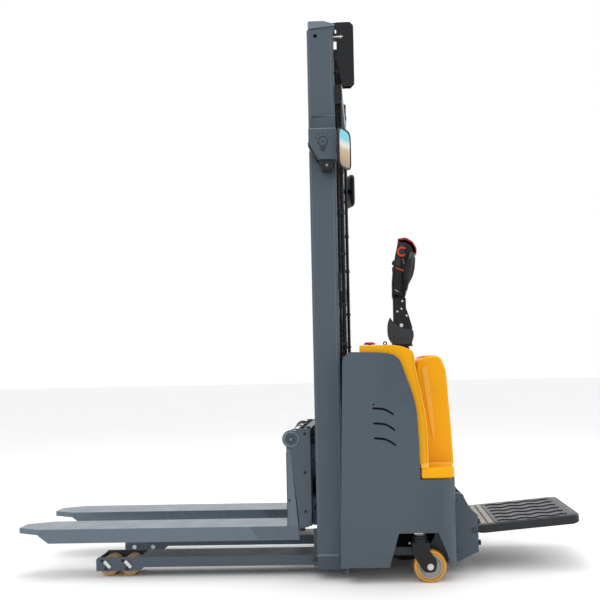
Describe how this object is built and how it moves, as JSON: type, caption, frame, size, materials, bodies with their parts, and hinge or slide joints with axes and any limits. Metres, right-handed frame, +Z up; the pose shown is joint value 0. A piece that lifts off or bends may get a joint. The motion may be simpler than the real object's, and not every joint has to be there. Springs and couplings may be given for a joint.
{
  "type": "walkie stacker",
  "caption": "Electric pedestrian pallet stacker with two-stage mast, straddle legs, forks, steered drive wheel, tiller and fold-down ride platform.",
  "frame": {"origin": "on the floor, midway along the truck's overall length and width, with the forks lowered and the platform down", "axes": "+X from the fork tips towards the operator's platform, +Y towards the operator's right hand as the operator faces the forks, +Z up"},
  "size_m": [2.3697, 0.8748, 2.28],
  "materials": {
    "slate_paint": "satin powder coat, dark slate grey",
    "fork_paint": "satin powder coat, lighter blue grey",
    "yellow_cover": "glossy moulded amber yellow",
    "black_plastic": "fine textured black plastic",
    "black_paint": "black powder coat",
    "bright_steel": "bright turned steel",
    "chain_steel": "oiled dark steel",
    "chrome_rod": "hard chromed rod",
    "cast_grey": "painted casting",
    "amber_tread": "amber polyurethane",
    "black_tread": "black polyurethane",
    "mat_rubber": "ribbed black rubber",
    "red_plastic": "glossy red plastic",
    "orange_plastic": "glossy orange plastic",
    "grey_plastic": "satin blue grey plastic",
    "mirror_glass": "convex mirror in a black housing",
    "lamp_plastic": "black lamp with a clear lens"
  },
  "bodies": {
    "chassis": {"base_frame": "slate_paint", "left_leg": "slate_paint", "right_leg": "slate_paint", "load_wheel_axles": "bright_steel", "left_mast_channel": "slate_paint", "right_mast_channel": "slate_paint", "mast_crossbeams": "slate_paint", "mast_hood": "black_plastic", "hose_conduits": "black_plastic", "cylinder_barrels": "black_paint", "rear_lift_chains": "chain_steel", "battery_blocks": "black_plastic", "hydraulic_power_unit": "black_paint", "motor_controller": "black_plastic", "left_side_panel": "slate_paint", "right_side_panel": "slate_paint", "top_cover": "yellow_cover", "rear_cover": "yellow_cover", "console_fittings": "black_plastic", "lamp_boxes": "slate_paint", "work_lamps": "lamp_plastic", "step_box": "slate_paint"},
    "inner_mast": {"inner_mast_channels": "slate_paint", "inner_mast_crossbeams": "slate_paint", "cylinder_rods": "chrome_rod", "front_lift_chains": "chain_steel"},
    "pulleys": {"chain_pulleys": "chain_steel"},
    "mast_rollers": {"inner_mast_rollers": "chain_steel"},
    "carriage": {"carriage_frame": "slate_paint", "carriage_shaft": "bright_steel", "left_fork": "fork_paint", "right_fork": "fork_paint"},
    "lower_rollers": {"lower_carriage_rollers": "chain_steel"},
    "upper_rollers": {"upper_carriage_rollers": "chain_steel"},
    "drive_unit": {"drive_gearbox": "cast_grey", "drive_motor": "cast_grey", "tiller_yoke": "grey_plastic"},
    "drive_wheel": {"drive_wheel": "black_tread"},
    "tiller": {"tiller_arm": "black_paint", "tiller_pin": "bright_steel", "tiller_head": "black_plastic", "hand_grips": "black_plastic"},
    "throttle": {"thumb_throttle": "orange_plastic"},
    "belly_button": {"belly_button": "red_plastic"},
    "lift_button": {"lift_button": "grey_plastic"},
    "lower_button": {"lower_button": "grey_plastic"},
    "left_caster": {"left_caster_fork": "black_paint"},
    "right_caster": {"right_caster_fork": "black_paint"},
    "left_caster_wheel": {"left_caster_wheel": "amber_tread"},
    "right_caster_wheel": {"right_caster_wheel": "amber_tread"},
    "left_front_load_wheel": {"left_front_load_wheel": "amber_tread"},
    "left_rear_load_wheel": {"left_rear_load_wheel": "amber_tread"},
    "right_front_load_wheel": {"right_front_load_wheel": "amber_tread"},
    "right_rear_load_wheel": {"right_rear_load_wheel": "amber_tread"},
    "deck": {"ride_deck": "black_paint", "deck_mat": "mat_rubber"},
    "stop_button": {"stop_button": "red_plastic"},
    "key": {"key": "bright_steel"},
    "left_mirror": {"left_mirror": "mirror_glass"},
    "right_mirror": {"right_mirror": "mirror_glass"}
  },
  "joints": [
    {"name": "mast_lift", "type": "slide", "parent": "chassis", "child": "inner_mast", "axis": [0, 0, 1], "range_m": [-0.055, 1.5], "deforming": ["rear_lift_chains"]},
    {"name": "carriage_lift", "type": "slide", "parent": "inner_mast", "child": "carriage", "axis": [0, 0, 1], "range_m": [-0.055, 1.5], "deforming": ["front_lift_chains"]},
    {"name": "pulley_spin", "type": "hinge", "parent": "inner_mast", "child": "pulleys", "pos_m": [0.15089, 0, 2.18], "axis": [0, 1, 0], "range_deg": [-59, 1567]},
    {"name": "mast_roller_spin", "type": "hinge", "parent": "inner_mast", "child": "mast_rollers", "pos_m": [0.14389, 0, 0.19], "axis": [0, 1, 0], "range_deg": [-79, 2109]},
    {"name": "lower_roller_spin", "type": "hinge", "parent": "carriage", "child": "lower_rollers", "pos_m": [0.14389, 0, 0.23], "axis": [0, 1, 0], "range_deg": [-85, 2273]},
    {"name": "upper_roller_spin", "type": "hinge", "parent": "carriage", "child": "upper_rollers", "pos_m": [0.14389, 0, 0.5], "axis": [0, 1, 0], "range_deg": [-85, 2273]},
    {"name": "steering", "type": "hinge", "parent": "chassis", "child": "drive_unit", "pos_m": [0.46289, 0, 0.6], "axis": [0, 0, 1], "range_deg": [-90, 90]},
    {"name": "drive_wheel_spin", "type": "hinge", "parent": "drive_unit", "child": "drive_wheel", "pos_m": [0.46289, 0, 0.115], "axis": [0, 1, 0], "continuous": true},
    {"name": "tiller_tilt", "type": "hinge", "parent": "drive_unit", "child": "tiller", "pos_m": [0.46289, 0, 1.043], "axis": [0, 1, 0], "range_deg": [0, 75], "stiffness_Nm_per_rad": 16, "springref_deg": -40.11},
    {"name": "throttle_turn", "type": "hinge", "parent": "tiller", "child": "throttle", "pos_m": [0.47089, 0, 1.366], "axis": [0, 1, 0], "range_deg": [-30, 30], "stiffness_Nm_per_rad": 0.5},
    {"name": "belly_button_press", "type": "slide", "parent": "tiller", "child": "belly_button", "axis": [0, 0, -1], "range_m": [0, 0.005], "stiffness_N_per_m": 2000, "springref_m": -0.002},
    {"name": "lift_button_press", "type": "slide", "parent": "tiller", "child": "lift_button", "axis": [1, 0, 0], "range_m": [0, 0.004], "stiffness_N_per_m": 1200, "springref_m": -0.001},
    {"name": "lower_button_press", "type": "slide", "parent": "tiller", "child": "lower_button", "axis": [1, 0, 0], "range_m": [0, 0.004], "stiffness_N_per_m": 1200, "springref_m": -0.001},
    {"name": "deck_fold", "type": "hinge", "parent": "chassis", "child": "deck", "pos_m": [0.73889, 0, 0.176], "axis": [0, -1, 0], "range_deg": [0, 82]},
    {"name": "stop_button_press", "type": "slide", "parent": "chassis", "child": "stop_button", "axis": [0, 0, -1], "range_m": [0, 0.0045], "stiffness_N_per_m": 2500, "springref_m": -0.001},
    {"name": "key_turn", "type": "hinge", "parent": "chassis", "child": "key", "pos_m": [0.38789, -0.1, 0.955], "axis": [0, 0, -1], "range_deg": [0, 60]},
    {"name": "left_caster_swivel", "type": "hinge", "parent": "chassis", "child": "left_caster", "pos_m": [0.50489, -0.385, 0.19], "axis": [0, 0, 1], "continuous": true},
    {"name": "left_caster_wheel_spin", "type": "hinge", "parent": "left_caster", "child": "left_caster_wheel", "pos_m": [0.54289, -0.385, 0.065], "axis": [0, 1, 0], "continuous": true},
    {"name": "left_front_load_wheel_spin", "type": "hinge", "parent": "chassis", "child": "left_front_load_wheel", "pos_m": [-0.80311, -0.195, 0.04], "axis": [0, 1, 0], "continuous": true},
    {"name": "left_rear_load_wheel_spin", "type": "hinge", "parent": "chassis", "child": "left_rear_load_wheel", "pos_m": [-0.71511, -0.195, 0.04], "axis": [0, 1, 0], "continuous": true},
    {"name": "left_mirror_turn", "type": "hinge", "parent": "chassis", "child": "left_mirror", "pos_m": [0.22489, -0.386, 1.74], "axis": [0, 0, 1], "range_deg": [-12, 12]},
    {"name": "right_caster_swivel", "type": "hinge", "parent": "chassis", "child": "right_caster", "pos_m": [0.50489, 0.385, 0.19], "axis": [0, 0, 1], "continuous": true},
    {"name": "right_caster_wheel_spin", "type": "hinge", "parent": "right_caster", "child": "right_caster_wheel", "pos_m": [0.54289, 0.385, 0.065], "axis": [0, 1, 0], "continuous": true},
    {"name": "right_front_load_wheel_spin", "type": "hinge", "parent": "chassis", "child": "right_front_load_wheel", "pos_m": [-0.80311, 0.195, 0.04], "axis": [0, 1, 0], "continuous": true},
    {"name": "right_rear_load_wheel_spin", "type": "hinge", "parent": "chassis", "child": "right_rear_load_wheel", "pos_m": [-0.71511, 0.195, 0.04], "axis": [0, 1, 0], "continuous": true},
    {"name": "right_mirror_turn", "type": "hinge", "parent": "chassis", "child": "right_mirror", "pos_m": [0.22489, 0.386, 1.74], "axis": [0, 0, 1], "range_deg": [-12, 12]}
  ],
  "couplings": [
    {"joint": "carriage_lift", "follows": "mast_lift", "ratio": 1},
    {"joint": "pulley_spin", "follows": "mast_lift", "rad_per_m": 17.857},
    {"joint": "mast_roller_spin", "follows": "mast_lift", "rad_per_m": 24.038},
    {"joint": "lower_roller_spin", "follows": "mast_lift", "rad_per_m": 25.907},
    {"joint": "upper_roller_spin", "follows": "mast_lift", "rad_per_m": 25.907}
  ]
}
